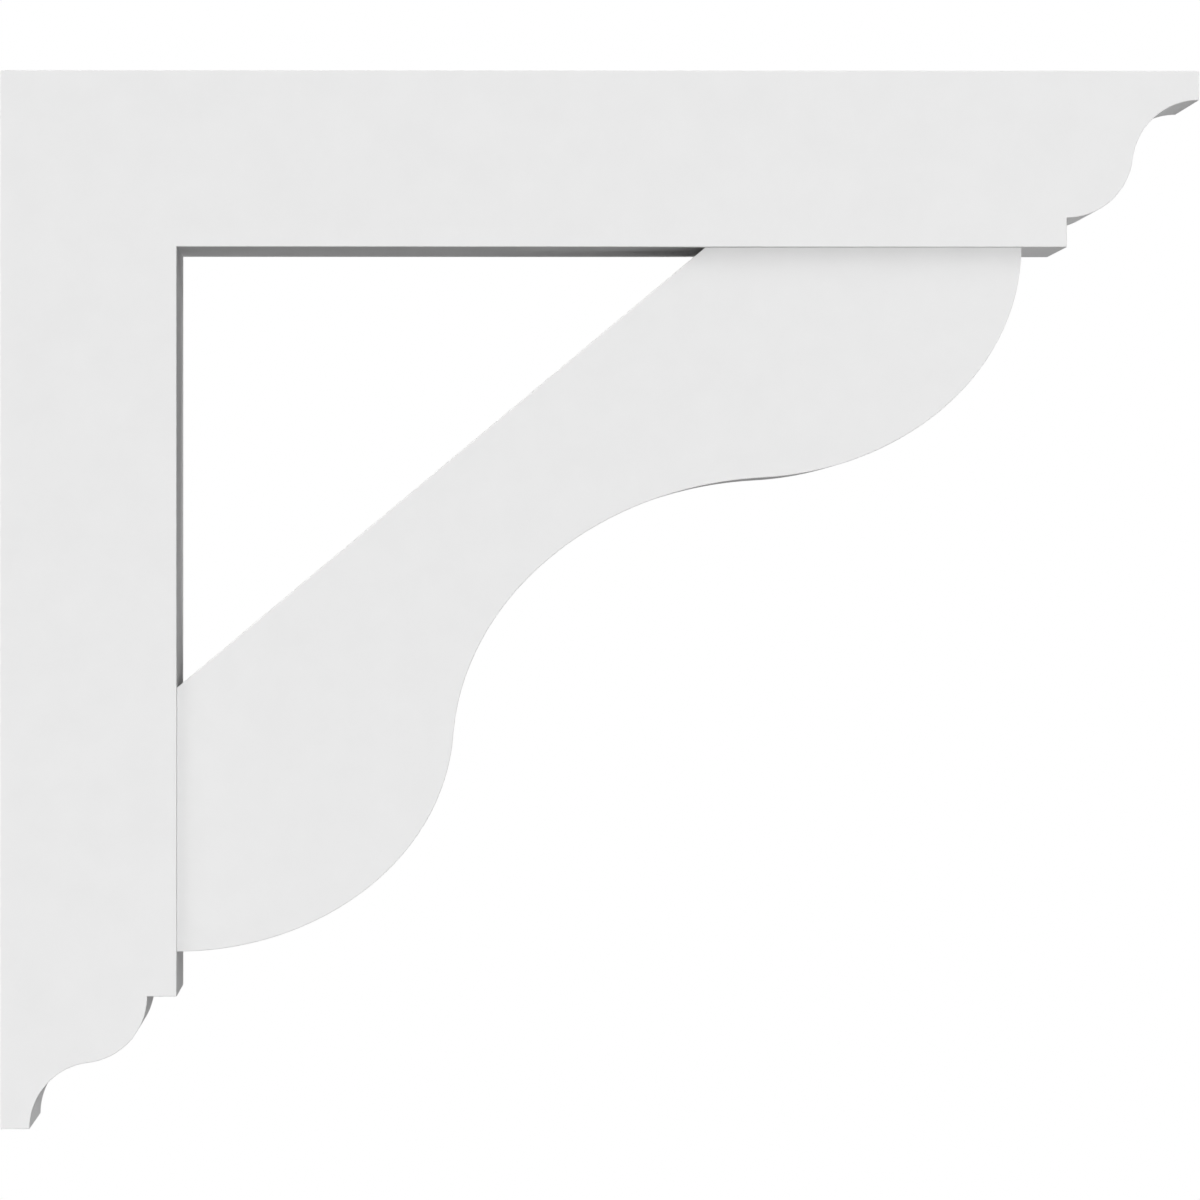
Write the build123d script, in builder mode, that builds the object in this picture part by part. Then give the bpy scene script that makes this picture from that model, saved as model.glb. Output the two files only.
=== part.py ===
from build123d import *
import math
import os

# Architectural bracket: a level arm and an upright leg mitred at the corner,
# both cut to an ogee at their free end, and a curved brace seated between them.
# The origin is at the top rear corner, midway across, where the wall meets the soffit.
# X runs out from the wall, Y runs across the bracket and Z runs up. Sizes are in millimetres.

INCH = 25.4

# Frame: how far it stands out from the wall and hangs down it, and the section of its two members
PROJECTION = 34.0 * INCH
DROP = 30.0 * INCH
FRAME_WIDTH = 5.0 * INCH
ARM_HEIGHT = 5.0 * INCH
LEG_DEPTH = 5.0 * INCH

# Ogee end: a flat nose at the tip, the curve, and a square step up to the full section
NOSE_HEIGHT = 0.833 * INCH
OGEE_LENGTH = 3.75 * INCH
STEP_HEIGHT = 0.833 * INCH

# Brace: the bare length left between each of its ends and the member's step, how far its sides
# are set back from the frame's, its two seats, and its least thickness, at the hollow
BRACE_REVEAL = 1.25 * INCH
BRACE_SETBACK = 0.375 * INCH
ARM_SEAT = 9.0 * INCH
LEG_SEAT = 7.5 * INCH
BRACE_WAIST = 3.95 * INCH

# Radius of the brace's two rounded lobes, measured along the arm
LOBE_RADIUS = 7.86 * INCH

# Sanded edges
ARRIS = 0.6

# What follows from the sizes above
BRACE_REACH = PROJECTION - LEG_DEPTH - OGEE_LENGTH - BRACE_REVEAL
BRACE_FALL = DROP - ARM_HEIGHT - OGEE_LENGTH - BRACE_REVEAL
BRACE_WIDTH = FRAME_WIDTH - 2 * BRACE_SETBACK
INNER_EDGE_REACH = BRACE_REACH - ARM_SEAT
INNER_EDGE_FALL = BRACE_FALL - LEG_SEAT

# The side view, seen with the wall at the left
RIGHT = Vector(1, 0)
DOWN = Vector(0, -1)
OUTER_CORNER = Vector(0, 0)
INNER_CORNER = Vector(LEG_DEPTH, -ARM_HEIGHT)

# The joints between the three pieces
MITRE = Plane(origin=(0, 0, 0), x_dir=(0, 1, 0), z_dir=(ARM_HEIGHT, 0, LEG_DEPTH))
ARM_UNDERSIDE = Plane(origin=(0, 0, -ARM_HEIGHT), x_dir=(1, 0, 0), z_dir=(0, 0, -1))
LEG_INNER_FACE = Plane(origin=(LEG_DEPTH, 0, 0), x_dir=(0, 1, 0), z_dir=(1, 0, 0))
ON_JOINT = 0.01


def frame_member(length, depth, along, across):
    """Draw one member's side view: the mitre at the corner and the ogee at the free end.

    along points from the corner to the tip, and across from the outer to the inner face.
    The ogee is two equal arcs. Both start along the member, and they meet at the middle.
    """
    tip = OUTER_CORNER + along * length
    nose = tip + across * NOSE_HEIGHT
    shoulder = tip - along * OGEE_LENGTH + across * depth
    step = shoulder - across * STEP_HEIGHT
    middle = (nose + step) / 2
    TangentArc(nose, middle, tangent=-along)
    TangentArc(step, middle, tangent=along)
    Polyline(nose, tip, OUTER_CORNER, INNER_CORNER, shoulder, step)


def brace_curve():
    """Draw the lobe at the arm, the hollow and the lobe at the leg, each tangent to the next.

    All three are arcs in a square whose side is the reach. The square is then squashed
    to the fall, which makes them arcs of ellipses. The hollow's centre is on the square's
    diagonal, where its arc touches both lobes and leaves the waist its thickness.
    """
    squash = BRACE_FALL / BRACE_REACH
    lobe_centre = BRACE_REACH - LOBE_RADIUS

    slope = math.hypot(1 / INNER_EDGE_REACH, 1 / INNER_EDGE_FALL)
    waist = (1 + BRACE_WAIST * slope) / (1 / INNER_EDGE_REACH + squash / INNER_EDGE_FALL)

    lobe_span = math.sqrt(2) * LOBE_RADIUS
    above = lobe_centre**2 - LOBE_RADIUS**2 + 2 * lobe_span * waist - 2 * waist**2
    below = 2 * lobe_centre + 2 * lobe_span - 4 * waist
    hollow_centre = above / below
    hollow_radius = math.sqrt(2) * (hollow_centre - waist)
    turn = math.degrees(math.atan2(hollow_centre, hollow_centre - lobe_centre))

    def arc(right, down, radius, start_angle, arc_size):
        centre = INNER_CORNER + RIGHT * right + DOWN * down * squash
        EllipticalCenterArc(centre, radius, radius * squash, start_angle, arc_size=arc_size)

    arc(lobe_centre, 0, LOBE_RADIUS, 0, -turn)
    arc(hollow_centre, hollow_centre, hollow_radius, 180 - turn, 2 * turn - 90)
    arc(0, lobe_centre, LOBE_RADIUS, turn - 90, -turn)


def exposed_edges(piece, joints):
    """The edges round a piece's two sides, without those that lie on a joint."""
    return [
        edge
        for edge in piece.faces().filter_by(Axis.Y).edges()
        if all(abs(joint.to_local_coords(edge @ 0.5).Z) > ON_JOINT for joint in joints)
    ]


# Horizontal arm
with BuildPart() as arm:
    with BuildSketch(Plane.XZ):
        with BuildLine():
            frame_member(PROJECTION, ARM_HEIGHT, along=RIGHT, across=DOWN)
        make_face()
    extrude(amount=FRAME_WIDTH / 2, both=True)
    fillet(exposed_edges(arm, [MITRE]), ARRIS)

# Vertical leg
with BuildPart() as leg:
    with BuildSketch(Plane.XZ):
        with BuildLine():
            frame_member(DROP, LEG_DEPTH, along=DOWN, across=RIGHT)
        make_face()
    extrude(amount=FRAME_WIDTH / 2, both=True)
    fillet(exposed_edges(leg, [MITRE]), ARRIS)

# Curved brace
with BuildPart() as brace:
    with BuildSketch(Plane.XZ):
        with BuildLine():
            brace_curve()
            Polyline(
                INNER_CORNER + RIGHT * BRACE_REACH,
                INNER_CORNER + RIGHT * INNER_EDGE_REACH,
                INNER_CORNER + DOWN * INNER_EDGE_FALL,
                INNER_CORNER + DOWN * BRACE_FALL,
            )
        make_face()
    extrude(amount=BRACE_WIDTH / 2, both=True)
    fillet(exposed_edges(brace, [ARM_UNDERSIDE, LEG_INNER_FACE]), ARRIS)

arm.part.label = "horizontal_arm"
leg.part.label = "vertical_leg"
brace.part.label = "curved_brace"

os.makedirs("parts", exist_ok=True)
export_step(arm.part, "parts/horizontal_arm.step")
export_step(leg.part, "parts/vertical_leg.step")
export_step(brace.part, "parts/curved_brace.step")
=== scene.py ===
import math

import bpy
from mathutils import Matrix, Vector


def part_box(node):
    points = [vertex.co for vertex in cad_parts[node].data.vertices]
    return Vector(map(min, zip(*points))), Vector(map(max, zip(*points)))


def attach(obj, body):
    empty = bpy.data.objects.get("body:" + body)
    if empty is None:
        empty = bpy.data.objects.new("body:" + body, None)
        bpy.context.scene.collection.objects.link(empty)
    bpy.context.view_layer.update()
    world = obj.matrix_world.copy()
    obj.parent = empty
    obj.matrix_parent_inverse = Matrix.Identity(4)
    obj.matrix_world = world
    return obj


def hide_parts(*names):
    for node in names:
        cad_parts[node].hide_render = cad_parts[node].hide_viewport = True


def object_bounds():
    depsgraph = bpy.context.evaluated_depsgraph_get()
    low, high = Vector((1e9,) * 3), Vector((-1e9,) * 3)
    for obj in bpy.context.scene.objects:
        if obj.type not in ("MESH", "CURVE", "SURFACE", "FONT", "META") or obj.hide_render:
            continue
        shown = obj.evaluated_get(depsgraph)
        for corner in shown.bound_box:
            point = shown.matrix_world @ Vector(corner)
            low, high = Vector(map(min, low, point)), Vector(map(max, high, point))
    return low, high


# White cellular PVC porch bracket: a level arm and an upright leg mitred at the corner, both
# cut to an ogee at their free end, and a curved brace seated between them.
# X runs out from the wall, Y across the bracket and Z up, in metres.

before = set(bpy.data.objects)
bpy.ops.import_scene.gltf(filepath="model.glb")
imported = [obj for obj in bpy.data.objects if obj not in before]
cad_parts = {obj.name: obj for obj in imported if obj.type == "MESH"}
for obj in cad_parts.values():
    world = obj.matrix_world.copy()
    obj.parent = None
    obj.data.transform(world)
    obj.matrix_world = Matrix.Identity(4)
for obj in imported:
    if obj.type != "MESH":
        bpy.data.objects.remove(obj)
CAD_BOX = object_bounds()

INCH = 0.0254

# Overall sizes, from the frame
ARM_LOW, ARM_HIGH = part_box("horizontal_arm")
LEG_LOW, LEG_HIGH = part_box("vertical_leg")
BRACE_LOW, BRACE_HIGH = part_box("curved_brace")
ARM_LENGTH = ARM_HIGH.x
ARM_HEIGHT = -ARM_LOW.z
LEG_LENGTH = -LEG_LOW.z
LEG_DEPTH = LEG_HIGH.x
FRAME_WIDTH = ARM_HIGH.y - ARM_LOW.y
BRACE_REACH = BRACE_HIGH.x - BRACE_LOW.x
BRACE_FALL = BRACE_HIGH.z - BRACE_LOW.z
BRACE_WIDTH = BRACE_HIGH.y - BRACE_LOW.y

# Ogee end: a flat nose at the tip, the curve, and a square step up to the full section
NOSE_HEIGHT = 0.833 * INCH
OGEE_LENGTH = 3.75 * INCH
STEP_HEIGHT = 0.833 * INCH

# Brace: its two seats, its thickness at the hollow, and the radius of its lobes along the arm
ARM_SEAT = 9.0 * INCH
LEG_SEAT = 7.5 * INCH
BRACE_WAIST = 3.95 * INCH
LOBE_RADIUS = 7.86 * INCH

# Sanded edges
ARRIS = 0.0006
ARRIS_FACETS = 3

# Drawing: the points of each arc, and how near two ends must be to join
ARC_POINTS = 48
WELD = 0.00001

# An edge that turns more than this is crisp. The arris's facets turn 30 degrees, and the
# bluntest corner, at the end of the brace's seat under the arm, turns 39.8.
CREASE = math.radians(35)

# The photograph, in pixels, and what was read off it. The last value is how much smaller the
# bracket's rear looks than its front.
IMAGE_SIZE = 1200
VANISHING_POINT = (403.4, 587.7)
TOP_LEFT_CORNER = (0.22, 70.3)
PIXELS_PER_METRE = 1389.0
DEPTH_SHRINK = 0.0301

# Camera: the part of the photograph's sideways shift that is turned into a turn of the camera
SENSOR_WIDTH = 36.0
CAMERA_TURN = math.radians(0.45)

# White PVC. Its colour is linear, and noises are in repeats a metre.
PVC_WHITE = 0.82
CLOUD_DEPTH = 0.007
CLOUD_SCALE = 38.0
PVC_ROUGHNESS = 0.88
ROUGHNESS_SPREAD = 0.06
ROUGHNESS_SCALE = 90.0
PVC_SPECULAR = 0.15
GRAIN_SCALE = 700.0
GRAIN_HEIGHT = 0.00003
CUTTER_SCALE = (420.0, 6.0, 420.0)
CUTTER_HEIGHT = 0.00006
NOISE_MIDDLE = (0.3, 0.7)

# Studio: the floor's distance below the bracket, its side, its grey and its glow, and the
# strength of the light from all round
FLOOR_DROP = 0.8
FLOOR_SIZE = 3.6
FLOOR_GREY = 0.45
FLOOR_GLOW = 0.9
DOME_STRENGTH = 0.02


class Size:
    """A number inside a node tree. Arithmetic on it adds the Math nodes that work it out."""

    def __init__(self, tree, socket):
        self.tree = tree
        self.socket = socket

    def maths(self, operation, *others):
        node = self.tree.nodes.new("ShaderNodeMath")
        node.operation = operation
        for slot, value in zip(node.inputs, (self, *others)):
            feed(self.tree, slot, value)
        return Size(self.tree, node.outputs[0])

    def __add__(self, other):
        return self.maths("ADD", other)

    def __sub__(self, other):
        return self.maths("SUBTRACT", other)

    def __mul__(self, other):
        return self.maths("MULTIPLY", other)

    def __truediv__(self, other):
        return self.maths("DIVIDE", other)

    def __neg__(self):
        return self.maths("MULTIPLY", -1)

    def __gt__(self, other):
        return self.maths("GREATER_THAN", other)


def feed(tree, slot, value):
    """Link a node's input to a Size or a socket, or set a plain value there."""
    if isinstance(value, Size):
        tree.links.new(value.socket, slot)
    elif isinstance(value, bpy.types.NodeSocket):
        tree.links.new(value, slot)
    else:
        slot.default_value = value


def add_node(tree, kind, settings=None, **inputs):
    """Add a node. Its inputs are fed by name, with underscores for spaces."""
    node = tree.nodes.new(kind)
    for name, value in (settings or {}).items():
        setattr(node, name, value)
    for name, value in inputs.items():
        feed(tree, node.inputs[name.replace("_", " ")], value)
    return node


class Board:
    """A Geometry Nodes tree that draws a board's outline and cuts the board from it.

    The outline is drawn from the bracket's corner, along X and across Y. The width is along Z.
    """

    def __init__(self, name):
        self.tree = bpy.data.node_groups.new(name, "GeometryNodeTree")
        self.tree.interface.new_socket("Board", in_out="OUTPUT", socket_type="NodeSocketGeometry")
        self.given = self.tree.nodes.new("NodeGroupInput")
        self.outline = []

    def size(self, name):
        """A named input of the tree."""
        self.tree.interface.new_socket(name, in_out="INPUT", socket_type="NodeSocketFloat")
        return Size(self.tree, self.given.outputs[name])

    def node(self, kind, settings=None, **inputs):
        """Add a node, and give its first output."""
        return add_node(self.tree, kind, settings, **inputs).outputs[0]

    def point(self, along, across, up=0.0):
        return self.node("ShaderNodeCombineXYZ", X=along, Y=across, Z=up)

    def lines(self, *corners):
        """Draw straight edges from corner to corner."""
        points = [self.point(*corner) for corner in corners]
        for start, end in zip(points, points[1:]):
            self.outline.append(self.node("GeometryNodeCurvePrimitiveLine", Start=start, End=end))

    def arc(self, centre, radius, start, sweep, squash=1.0):
        """Draw an arc. A squash makes it an arc of an ellipse, narrower across."""
        circular = self.node(
            "GeometryNodeCurveArc",
            {"mode": "RADIUS"},
            Resolution=ARC_POINTS,
            Radius=radius,
            Start_Angle=start,
            Sweep_Angle=sweep,
        )
        placed = self.node(
            "GeometryNodeTransform",
            Geometry=circular,
            Translation=self.point(*centre),
            Scale=self.point(1.0, squash, 1.0),
        )
        self.outline.append(placed)

    def join(self, parts):
        node = self.tree.nodes.new("GeometryNodeJoinGeometry")
        for part in parts:
            self.tree.links.new(part, node.inputs["Geometry"])
        return node.outputs[0]

    def store(self, shape, name, domain, value):
        return self.node(
            "GeometryNodeStoreNamedAttribute",
            {"data_type": "FLOAT", "domain": domain},
            Geometry=shape,
            Name=name,
            Value=value,
        )

    def saw(self, width):
        """Close the outline and give it its width. Its cut edges are marked as routed."""
        wire = self.node("GeometryNodeCurveToMesh", Curve=self.join(self.outline))
        loop = self.node("GeometryNodeMergeByDistance", Geometry=wire, Distance=WELD)
        closed = self.node("GeometryNodeMeshToCurve", Mesh=loop)
        side = self.node("GeometryNodeFillCurve", {"mode": "NGONS"}, Curve=closed)
        sawn = add_node(
            self.tree,
            "GeometryNodeExtrudeMesh",
            Mesh=side,
            Offset_Scale=width,
            Individual=False,
        )
        routed = self.store(sawn.outputs["Mesh"], "routed", "FACE", sawn.outputs["Side"])
        other_side = self.node("GeometryNodeFlipFaces", Mesh=side)
        shell = self.join([routed, other_side])
        solid = self.node("GeometryNodeMergeByDistance", Geometry=shell, Distance=WELD)
        to_middle = self.point(0.0, 0.0, -width / 2)
        return self.node("GeometryNodeTransform", Geometry=solid, Translation=to_middle)

    def finish(self, sawn, width, off_joint, material):
        """Mark the edges that get an arris: those round the two sides, unless on a joint.

        off_joint takes a place along and across, and gives a number that is 0 on a joint.
        """
        position = self.node("GeometryNodeInputPosition")
        place = add_node(self.tree, "ShaderNodeSeparateXYZ", Vector=position)
        along, across, up = (Size(self.tree, output) for output in place.outputs)
        # The sides are half the width from the middle, and the cut edges cross the middle
        on_side = up.maths("ABSOLUTE") > width / 4
        sanded = on_side * (off_joint(along, across).maths("ABSOLUTE") > WELD)
        marked = self.store(sawn, "bevel_weight_edge", "EDGE", sanded)

        smooth = self.node("GeometryNodeSetShadeSmooth", {"domain": "FACE"}, Geometry=marked)
        real = self.node("GeometryNodeRealizeInstances", Geometry=smooth)
        painted = self.node("GeometryNodeSetMaterial", Geometry=real, Material=material)
        add_node(self.tree, "NodeGroupOutput", Board=painted)


def frame_member_board(material):
    """The arm or the leg: the mitre at the corner, and the ogee at the free end.

    The ogee is two equal arcs. Both start along the member, and they meet at the middle.
    """
    board = Board("frame_member")
    length = board.size("Length")
    depth = board.size("Depth")
    mitre = board.size("Mitre")
    nose = board.size("Nose")
    ogee = board.size("Ogee")
    step = board.size("Step")
    width = board.size("Width")

    shoulder = length - ogee
    rise = depth - nose - step
    radius = (ogee * ogee + rise * rise) / (rise * 4)
    turn = (rise / ogee).maths("ARCTANGENT") * 2
    board.lines(
        (length, nose),
        (length, 0.0),
        (0.0, 0.0),
        (mitre, depth),
        (shoulder, depth),
        (shoulder, depth - step),
    )
    board.arc((length, nose + radius), radius, -math.pi / 2, -turn)
    board.arc((shoulder, depth - step - radius), radius, math.pi / 2, -turn)
    sawn = board.saw(width)
    board.finish(sawn, width, lambda along, across: along * depth - across * mitre, material)
    return board


def brace_board(material):
    """The brace: a lobe at each seat with a hollow between, and a straight inner edge.

    Its three arcs are drawn in a square whose side is the reach, and squashed to the fall.
    """
    board = Board("curved_brace")
    reach = board.size("Reach")
    fall = board.size("Fall")
    arm_seat = board.size("Arm Seat")
    leg_seat = board.size("Leg Seat")
    lobe_radius = board.size("Lobe Radius")
    hollow_centre = board.size("Hollow Centre")
    hollow_radius = board.size("Hollow Radius")
    turn = board.size("Turn")
    width = board.size("Width")

    squash = fall / reach
    lobe_centre = reach - lobe_radius
    quarter = math.pi / 2
    board.arc((lobe_centre, 0.0), lobe_radius, 0.0, turn, squash)
    in_hollow = (hollow_centre, hollow_centre * squash)
    board.arc(in_hollow, hollow_radius, turn + math.pi, -turn * 2 + quarter, squash)
    board.arc((0.0, lobe_centre * squash), lobe_radius, -turn + quarter, turn, squash)
    board.lines((reach, 0.0), (reach - arm_seat, 0.0), (0.0, fall - leg_seat), (0.0, fall))
    sawn = board.saw(width)
    board.finish(sawn, width, lambda along, across: along.maths("MINIMUM", across), material)
    return board


def hollow():
    """The hollow's centre, its radius and the turn of each lobe, in the brace's square.

    The centre is on the square's diagonal, as far along as across.
    """
    inner_reach = BRACE_REACH - ARM_SEAT
    inner_fall = BRACE_FALL - LEG_SEAT
    squash = BRACE_FALL / BRACE_REACH
    # The hollow's edge crosses the diagonal at the waist's thickness from the inner edge
    slope = math.hypot(1 / inner_reach, 1 / inner_fall)
    waist = (1 + BRACE_WAIST * slope) / (1 / inner_reach + squash / inner_fall)
    # The hollow touches a lobe, so their centres are as far apart as both radii together
    lobe_centre = BRACE_REACH - LOBE_RADIUS
    lobe_span = math.sqrt(2) * LOBE_RADIUS
    above = lobe_centre**2 - LOBE_RADIUS**2 + 2 * lobe_span * waist - 2 * waist**2
    below = 2 * lobe_centre + 2 * lobe_span - 4 * waist
    centre = above / below
    return centre, math.sqrt(2) * (centre - waist), math.atan2(centre, centre - lobe_centre)


def make_piece(node, board, place, sizes):
    """Make a node's piece from its board, with the arris sanded on."""
    name = node + "_finished"
    piece = bpy.data.objects.new(name, bpy.data.meshes.new(name))
    bpy.context.scene.collection.objects.link(piece)
    shape = piece.modifiers.new("board", "NODES")
    shape.node_group = board.tree
    for item in board.tree.interface.items_tree:
        if item.in_out == "INPUT":
            shape[item.identifier] = sizes[item.name]
    arris = piece.modifiers.new("arris", "BEVEL")
    arris.limit_method = "WEIGHT"
    arris.width = ARRIS
    arris.segments = ARRIS_FACETS
    drawn = piece.evaluated_get(bpy.context.evaluated_depsgraph_get())
    piece.data = bpy.data.meshes.new_from_object(drawn)
    piece.modifiers.clear()
    piece.data.name = name
    # Joining the board's sides leaves an empty first slot
    piece.data.materials.pop(index=0)
    piece.data.transform(place)

    # Crisp edges are found by angle, on the mesh with its arris
    piece.data.set_sharp_from_angle(angle=CREASE)
    even = piece.modifiers.new("even_shading", "WEIGHTED_NORMAL")
    even.keep_sharp = True

    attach(piece, "root")
    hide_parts(node)


def noise(tree, place, scale, detail):
    """A noise with its own scale on each axis."""
    stretch = add_node(tree, "ShaderNodeMapping", Vector=place.outputs["Object"], Scale=scale)
    pattern = add_node(
        tree,
        "ShaderNodeTexNoise",
        Vector=stretch.outputs[0],
        Scale=1.0,
        Detail=detail,
    )
    return pattern.outputs["Fac"]


def between(tree, pattern, middle, spread):
    """Values round a middle one, from the busy part of a noise's range."""
    node = add_node(
        tree,
        "ShaderNodeMapRange",
        Value=pattern,
        From_Min=NOISE_MIDDLE[0],
        From_Max=NOISE_MIDDLE[1],
        To_Min=middle - spread,
        To_Max=middle + spread,
    )
    return node.outputs["Result"]


def pvc_material():
    """Matte white PVC: faint clouding, a fine sanded grain, and cutter marks on routed edges."""
    material = bpy.data.materials.new("white_cellular_pvc")
    material.use_nodes = True
    tree = material.node_tree
    shader = tree.nodes["Principled BSDF"]
    place = tree.nodes.new("ShaderNodeTexCoord")
    routed = add_node(tree, "ShaderNodeAttribute", {"attribute_name": "routed"})

    clouds = noise(tree, place, (CLOUD_SCALE,) * 3, detail=3.0)
    patches = noise(tree, place, (ROUGHNESS_SCALE,) * 3, detail=2.0)
    grain = noise(tree, place, (GRAIN_SCALE,) * 3, detail=3.0)
    cutter = noise(tree, place, CUTTER_SCALE, detail=2.0)
    cutter_marks = Size(tree, cutter) * Size(tree, routed.outputs["Fac"])
    sanded = add_node(tree, "ShaderNodeBump", Height=grain, Distance=GRAIN_HEIGHT)
    milled = add_node(
        tree,
        "ShaderNodeBump",
        Height=cutter_marks,
        Distance=CUTTER_HEIGHT,
        Normal=sanded.outputs["Normal"],
    )
    feed(tree, shader.inputs["Base Color"], between(tree, clouds, PVC_WHITE, CLOUD_DEPTH))
    feed(tree, shader.inputs["Roughness"], between(tree, patches, PVC_ROUGHNESS, ROUGHNESS_SPREAD))
    feed(tree, shader.inputs["Specular IOR Level"], PVC_SPECULAR)
    feed(tree, shader.inputs["Normal"], milled.outputs["Normal"])
    return material


def seen_directly(tree):
    """A factor of 1 for rays that see a surface directly, in a mirror or through glass."""
    path = tree.nodes.new("ShaderNodeLightPath")
    camera_ray = Size(tree, path.outputs["Is Camera Ray"])
    mirrored = camera_ray.maths("MAXIMUM", Size(tree, path.outputs["Is Glossy Ray"]))
    return mirrored.maths("MAXIMUM", Size(tree, path.outputs["Is Transmission Ray"]))


def studio_world():
    """White where it is seen, and a soft grey dome where it lights the bracket."""
    world = bpy.data.worlds.new("studio")
    bpy.context.scene.world = world
    world.use_nodes = True
    tree = world.node_tree
    tree.nodes.clear()
    dome = add_node(tree, "ShaderNodeBackground", Color=(1, 1, 1, 1), Strength=DOME_STRENGTH)
    white = add_node(tree, "ShaderNodeBackground", Color=(1, 1, 1, 1), Strength=1.0)
    mix = add_node(tree, "ShaderNodeMixShader", Fac=seen_directly(tree))
    feed(tree, mix.inputs[1], dome.outputs[0])
    feed(tree, mix.inputs[2], white.outputs[0])
    add_node(tree, "ShaderNodeOutputWorld", Surface=mix.outputs[0])


def studio_floor():
    """A pale floor below the bracket. It reads white, and keeps the shadow that falls on it."""
    middle = (CAD_BOX[0] + CAD_BOX[1]) / 2
    level = CAD_BOX[0].z - FLOOR_DROP
    bpy.ops.mesh.primitive_plane_add(size=FLOOR_SIZE, location=(middle.x, middle.y, level))
    floor = bpy.context.object
    floor.name = "studio_floor"
    material = bpy.data.materials.new("studio_floor_white")
    material.use_nodes = True
    tree = material.node_tree
    tree.nodes.clear()
    grey = add_node(tree, "ShaderNodeBsdfDiffuse", Color=(FLOOR_GREY, FLOOR_GREY, FLOOR_GREY, 1))
    glow = add_node(tree, "ShaderNodeEmission", Strength=seen_directly(tree) * FLOOR_GLOW)
    both = add_node(tree, "ShaderNodeAddShader")
    feed(tree, both.inputs[0], grey.outputs[0])
    feed(tree, both.inputs[1], glow.outputs[0])
    add_node(tree, "ShaderNodeOutputMaterial", Surface=both.outputs[0])
    floor.data.materials.append(material)


def soft_lamp(name, azimuth, elevation, strength, spread, glint=True):
    """A far lamp. An azimuth of 0 is in front of the bracket, 90 beyond its tip, 180 behind.

    The angles are in degrees, and the spread is how wide the lamp looks. At a strength of 1, a
    surface that faces it shows its own colour. Without a glint it makes no highlight.
    """
    round_it = math.radians(azimuth)
    above = math.radians(elevation)
    level = math.cos(above)
    place = Vector((math.sin(round_it) * level, -math.cos(round_it) * level, math.sin(above)))
    light = bpy.data.lights.new(name, "SUN")
    light.energy = strength * math.pi
    light.angle = math.radians(spread)
    lamp = bpy.data.objects.new(name, light)
    bpy.context.scene.collection.objects.link(lamp)
    lamp.rotation_euler = place.to_track_quat("Z", "Y").to_euler()
    lamp.visible_glossy = glint


def camera():
    """The photograph's camera: square on to the front, from as far as its perspective says."""
    front = CAD_BOX[0].y
    distance = FRAME_WIDTH * (1 - DEPTH_SHRINK) / DEPTH_SHRINK
    across = (VANISHING_POINT[0] - TOP_LEFT_CORNER[0]) / PIXELS_PER_METRE
    height = (TOP_LEFT_CORNER[1] - VANISHING_POINT[1]) / PIXELS_PER_METRE
    focal_pixels = PIXELS_PER_METRE * distance
    turned = math.tan(CAMERA_TURN) * focal_pixels

    data = bpy.data.cameras.new("camera")
    data.sensor_width = SENSOR_WIDTH
    data.lens = focal_pixels / IMAGE_SIZE * SENSOR_WIDTH
    data.shift_x = (IMAGE_SIZE / 2 - VANISHING_POINT[0] - turned) / IMAGE_SIZE
    data.shift_y = (VANISHING_POINT[1] - IMAGE_SIZE / 2) / IMAGE_SIZE
    eye = bpy.data.objects.new("camera", data)
    bpy.context.scene.collection.objects.link(eye)
    eye.location = (across, front - distance, height)
    eye.rotation_euler = (math.radians(90), 0, -CAMERA_TURN)
    bpy.context.scene.camera = eye


# Where a board lies: its length, its depth and its width turn to these directions
ALONG_ARM = Matrix(((1, 0, 0, 0), (0, 0, 1, 0), (0, -1, 0, 0), (0, 0, 0, 1)))
ALONG_LEG = Matrix(((0, 1, 0, 0), (0, 0, -1, 0), (-1, 0, 0, 0), (0, 0, 0, 1)))
IN_CORNER = Matrix.Translation((LEG_DEPTH, 0, -ARM_HEIGHT)) @ ALONG_ARM

pvc = pvc_material()

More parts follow.
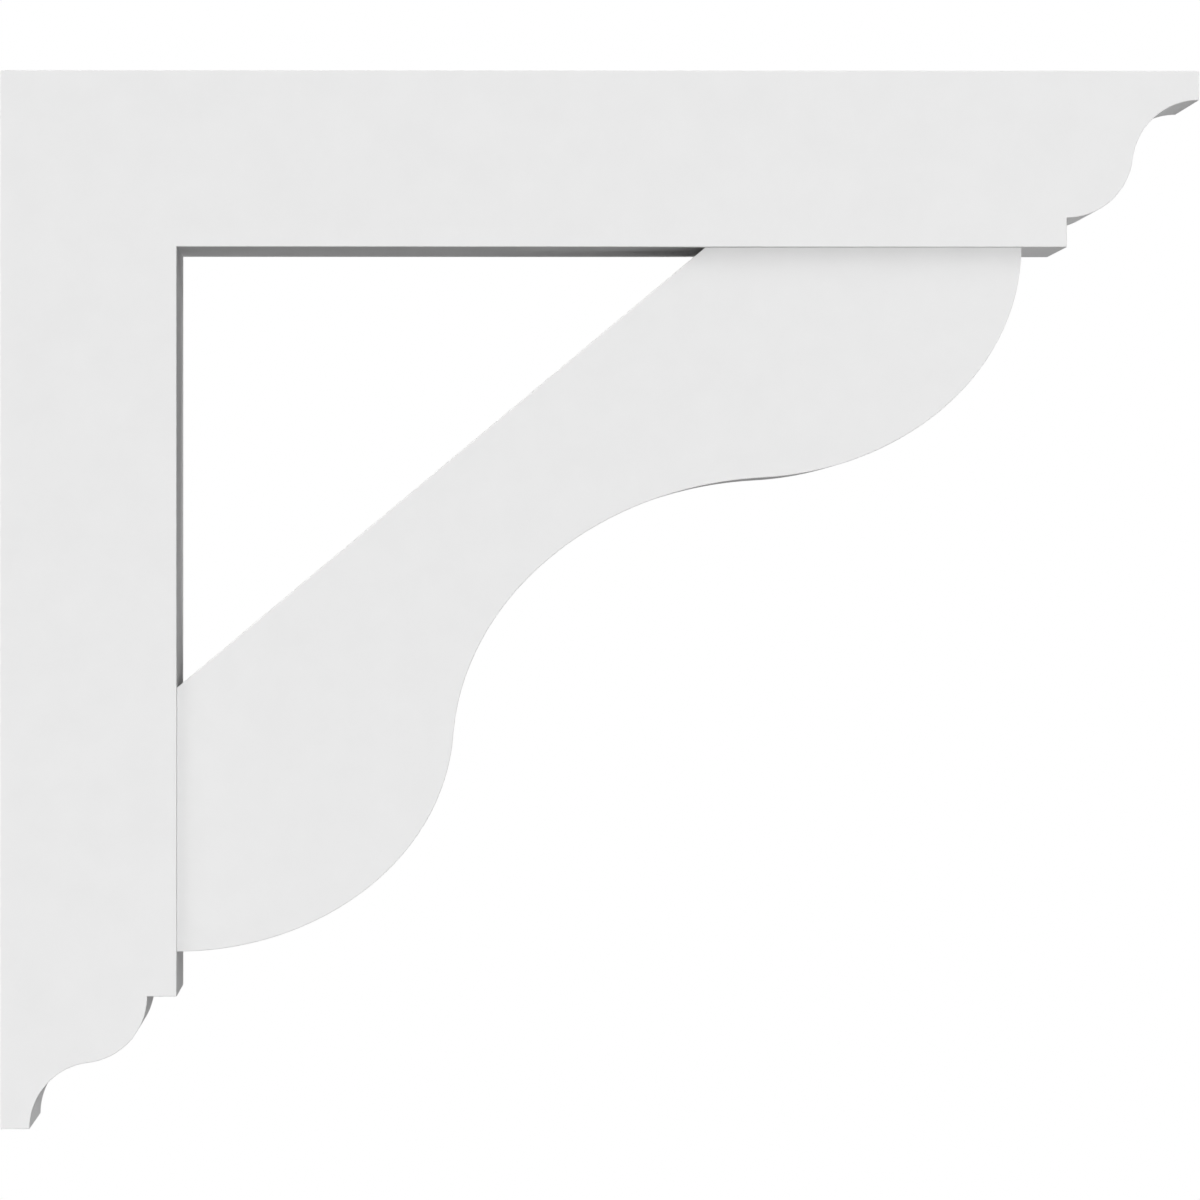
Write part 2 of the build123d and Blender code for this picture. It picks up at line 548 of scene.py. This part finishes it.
# Arm and leg
member = frame_member_board(pvc)
ogee_end = {"Nose": NOSE_HEIGHT, "Ogee": OGEE_LENGTH, "Step": STEP_HEIGHT, "Width": FRAME_WIDTH}
arm_sizes = {"Length": ARM_LENGTH, "Depth": ARM_HEIGHT, "Mitre": LEG_DEPTH, **ogee_end}
leg_sizes = {"Length": LEG_LENGTH, "Depth": LEG_DEPTH, "Mitre": ARM_HEIGHT, **ogee_end}
make_piece("horizontal_arm", member, ALONG_ARM, arm_sizes)
make_piece("vertical_leg", member, ALONG_LEG, leg_sizes)

# Brace
hollow_centre, hollow_radius, lobe_turn = hollow()
brace_sizes = {
    "Reach": BRACE_REACH,
    "Fall": BRACE_FALL,
    "Arm Seat": ARM_SEAT,
    "Leg Seat": LEG_SEAT,
    "Lobe Radius": LOBE_RADIUS,
    "Hollow Centre": hollow_centre,
    "Hollow Radius": hollow_radius,
    "Turn": lobe_turn,
    "Width": BRACE_WIDTH,
}
make_piece("curved_brace", brace_board(pvc), IN_CORNER, brace_sizes)

# Studio
studio_world()
studio_floor()
soft_lamp("front_lamp", azimuth=0, elevation=0, strength=0.505, spread=2)
soft_lamp("left_lamp", azimuth=-50, elevation=45, strength=0.25, spread=40)
soft_lamp("high_left_lamp", azimuth=-30, elevation=50, strength=0.23, spread=40)
soft_lamp("right_lamp", azimuth=32, elevation=18, strength=0.19, spread=20)
soft_lamp("low_right_lamp", azimuth=40, elevation=-30, strength=0.05, spread=20)
soft_lamp("high_tip_lamp", azimuth=97, elevation=30, strength=0.14, spread=8)
soft_lamp("tip_side_lamp", azimuth=97, elevation=-14, strength=0.1, spread=8)
soft_lamp("low_tip_lamp", azimuth=90, elevation=-40, strength=0.15, spread=8)
soft_lamp("top_lamp", azimuth=0, elevation=90, strength=0.1, spread=30)
soft_lamp("back_lamp", azimuth=180, elevation=0, strength=0.68, spread=2, glint=False)
soft_lamp("wall_side_lamp", azimuth=270, elevation=0, strength=0.6, spread=2, glint=False)
camera()
bpy.context.scene.view_settings.view_transform = "Standard"
